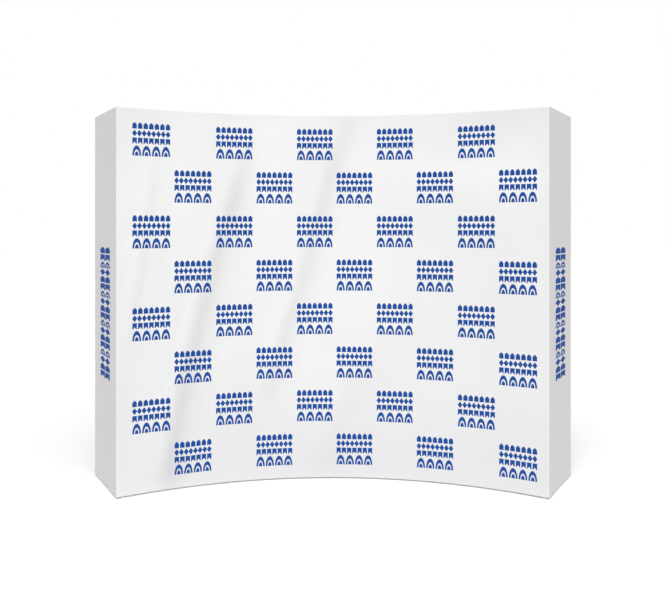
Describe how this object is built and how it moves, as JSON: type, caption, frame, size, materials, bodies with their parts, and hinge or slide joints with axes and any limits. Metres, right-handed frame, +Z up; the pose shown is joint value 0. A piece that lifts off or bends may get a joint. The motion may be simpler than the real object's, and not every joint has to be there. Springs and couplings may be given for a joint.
{
  "type": "pop-up display backwall",
  "caption": "Curved free-standing display wall: a stretch fabric front and two flat fabric end panels on a folding lattice of hubs and crossed tubes.",
  "frame": {"origin": "middle of the bounding box, on the floor under the feet", "axes": "+X along the wall to the viewer's right, +Y from the hollow front face to the back, +Z up"},
  "size_m": [3.0078, 0.8453, 2.26],
  "materials": {
    "printed_fabric": "stretch polyester knit, white, printed",
    "end_fabric": "stretch polyester knit, light grey, printed",
    "hook_pad": "woven hook tape, white",
    "hub_plastic": "moulded, fine grain, dark grey",
    "tube_aluminium": "drawn tube, satin",
    "tip_plastic": "moulded, dark grey",
    "pin_steel": "plated",
    "washer_nylon": "natural white",
    "lock_plastic": "moulded, dark grey",
    "foot_plastic": "moulded, light grey"
  },
  "bodies": {
    "frame": {"front_graphic": "printed_fabric", "left_end_panel": "end_fabric", "right_end_panel": "end_fabric", "front_hook_pads": "hook_pad", "rear_hook_pads": "hook_pad", "front_hubs_left_end": "hub_plastic", "front_hubs_left": "hub_plastic", "front_hubs_centre": "hub_plastic", "front_hubs_right": "hub_plastic", "front_hubs_right_end": "hub_plastic", "back_hubs_left_end": "hub_plastic", "back_hubs_left": "hub_plastic", "back_hubs_centre": "hub_plastic", "back_hubs_right": "hub_plastic", "back_hubs_right_end": "hub_plastic", "row_tubes_bottom": "tube_aluminium", "row_tubes_lower": "tube_aluminium", "row_tubes_upper": "tube_aluminium", "row_tubes_top": "tube_aluminium", "column_tubes_left_end": "tube_aluminium", "column_tubes_left": "tube_aluminium", "column_tubes_centre": "tube_aluminium", "column_tubes_right": "tube_aluminium", "column_tubes_right_end": "tube_aluminium", "row_tube_tips": "tip_plastic", "column_tube_tips": "tip_plastic", "row_pivot_rivets": "pin_steel", "column_pivot_rivets": "pin_steel", "pivot_washers": "washer_nylon", "front_hub_pins": "pin_steel", "back_hub_pins": "pin_steel", "lock_hinge_pins": "pin_steel", "foot_sockets_front": "tip_plastic", "foot_sockets_back": "tip_plastic"},
    "lock_hook_left_lower": {"lock_hook_left_lower": "lock_plastic"},
    "lock_catch_left_lower": {"lock_catch_left_lower": "lock_plastic"},
    "lock_hook_left_upper": {"lock_hook_left_upper": "lock_plastic"},
    "lock_catch_left_upper": {"lock_catch_left_upper": "lock_plastic"},
    "lock_hook_centre_lower": {"lock_hook_centre_lower": "lock_plastic"},
    "lock_catch_centre_lower": {"lock_catch_centre_lower": "lock_plastic"},
    "lock_hook_centre_upper": {"lock_hook_centre_upper": "lock_plastic"},
    "lock_catch_centre_upper": {"lock_catch_centre_upper": "lock_plastic"},
    "lock_hook_right_lower": {"lock_hook_right_lower": "lock_plastic"},
    "lock_catch_right_lower": {"lock_catch_right_lower": "lock_plastic"},
    "lock_hook_right_upper": {"lock_hook_right_upper": "lock_plastic"},
    "lock_catch_right_upper": {"lock_catch_right_upper": "lock_plastic"},
    "foot_front_left_end": {"foot_front_left_end": "foot_plastic"},
    "foot_front_left": {"foot_front_left": "foot_plastic"},
    "foot_front_centre": {"foot_front_centre": "foot_plastic"},
    "foot_front_right": {"foot_front_right": "foot_plastic"},
    "foot_front_right_end": {"foot_front_right_end": "foot_plastic"},
    "foot_back_left_end": {"foot_back_left_end": "foot_plastic"},
    "foot_back_left": {"foot_back_left": "foot_plastic"},
    "foot_back_centre": {"foot_back_centre": "foot_plastic"},
    "foot_back_right": {"foot_back_right": "foot_plastic"},
    "foot_back_right_end": {"foot_back_right_end": "foot_plastic"}
  },
  "joints": [
    {"name": "hook_left_lower_lift", "type": "hinge", "parent": "frame", "child": "lock_hook_left_lower", "pos_m": [-0.63987, -0.11914, 0.78333], "axis": [0.9637, 0.2668, 0], "range_deg": [0, 45]},
    {"name": "catch_left_lower_drop", "type": "hinge", "parent": "frame", "child": "lock_catch_left_lower", "pos_m": [-0.75161, 0.28448, 0.78333], "axis": [0.9637, 0.2668, 0], "range_deg": [0, 45]},
    {"name": "hook_left_upper_lift", "type": "hinge", "parent": "frame", "child": "lock_hook_left_upper", "pos_m": [-0.63987, -0.11914, 1.50467], "axis": [0.9637, 0.2668, 0], "range_deg": [0, 45]},
    {"name": "catch_left_upper_drop", "type": "hinge", "parent": "frame", "child": "lock_catch_left_upper", "pos_m": [-0.75161, 0.28448, 1.50467], "axis": [0.9637, 0.2668, 0], "range_deg": [0, 45]},
    {"name": "hook_centre_lower_lift", "type": "hinge", "parent": "frame", "child": "lock_hook_centre_lower", "pos_m": [0, -0.0322, 0.78333], "axis": [1, 0, 0], "range_deg": [0, 45]},
    {"name": "catch_centre_lower_drop", "type": "hinge", "parent": "frame", "child": "lock_catch_centre_lower", "pos_m": [0, 0.3866, 0.78333], "axis": [1, 0, 0], "range_deg": [0, 45]},
    {"name": "hook_centre_upper_lift", "type": "hinge", "parent": "frame", "child": "lock_hook_centre_upper", "pos_m": [0, -0.0322, 1.50467], "axis": [1, 0, 0], "range_deg": [0, 45]},
    {"name": "catch_centre_upper_drop", "type": "hinge", "parent": "frame", "child": "lock_catch_centre_upper", "pos_m": [0, 0.3866, 1.50467], "axis": [1, 0, 0], "range_deg": [0, 45]},
    {"name": "hook_right_lower_lift", "type": "hinge", "parent": "frame", "child": "lock_hook_right_lower", "pos_m": [0.63987, -0.11914, 0.78333], "axis": [0.9637, -0.2668, 0], "range_deg": [0, 45]},
    {"name": "catch_right_lower_drop", "type": "hinge", "parent": "frame", "child": "lock_catch_right_lower", "pos_m": [0.75161, 0.28448, 0.78333], "axis": [0.9637, -0.2668, 0], "range_deg": [0, 45]},
    {"name": "hook_right_upper_lift", "type": "hinge", "parent": "frame", "child": "lock_hook_right_upper", "pos_m": [0.63987, -0.11914, 1.50467], "axis": [0.9637, -0.2668, 0], "range_deg": [0, 45]},
    {"name": "catch_right_upper_drop", "type": "hinge", "parent": "frame", "child": "lock_catch_right_upper", "pos_m": [0.75161, 0.28448, 1.50467], "axis": [0.9637, -0.2668, 0], "range_deg": [0, 45]},
    {"name": "foot_front_left_end_level", "type": "slide", "parent": "frame", "child": "foot_front_left_end", "axis": [0, 0, -1], "range_m": [0, 0.012]},
    {"name": "foot_front_left_level", "type": "slide", "parent": "frame", "child": "foot_front_left", "axis": [0, 0, -1], "range_m": [0, 0.012]},
    {"name": "foot_front_centre_level", "type": "slide", "parent": "frame", "child": "foot_front_centre", "axis": [0, 0, -1], "range_m": [0, 0.012]},
    {"name": "foot_front_right_level", "type": "slide", "parent": "frame", "child": "foot_front_right", "axis": [0, 0, -1], "range_m": [0, 0.012]},
    {"name": "foot_front_right_end_level", "type": "slide", "parent": "frame", "child": "foot_front_right_end", "axis": [0, 0, -1], "range_m": [0, 0.012]},
    {"name": "foot_back_left_end_level", "type": "slide", "parent": "frame", "child": "foot_back_left_end", "axis": [0, 0, -1], "range_m": [0, 0.012]},
    {"name": "foot_back_left_level", "type": "slide", "parent": "frame", "child": "foot_back_left", "axis": [0, 0, -1], "range_m": [0, 0.012]},
    {"name": "foot_back_centre_level", "type": "slide", "parent": "frame", "child": "foot_back_centre", "axis": [0, 0, -1], "range_m": [0, 0.012]},
    {"name": "foot_back_right_level", "type": "slide", "parent": "frame", "child": "foot_back_right", "axis": [0, 0, -1], "range_m": [0, 0.012]},
    {"name": "foot_back_right_end_level", "type": "slide", "parent": "frame", "child": "foot_back_right_end", "axis": [0, 0, -1], "range_m": [0, 0.012]}
  ]
}
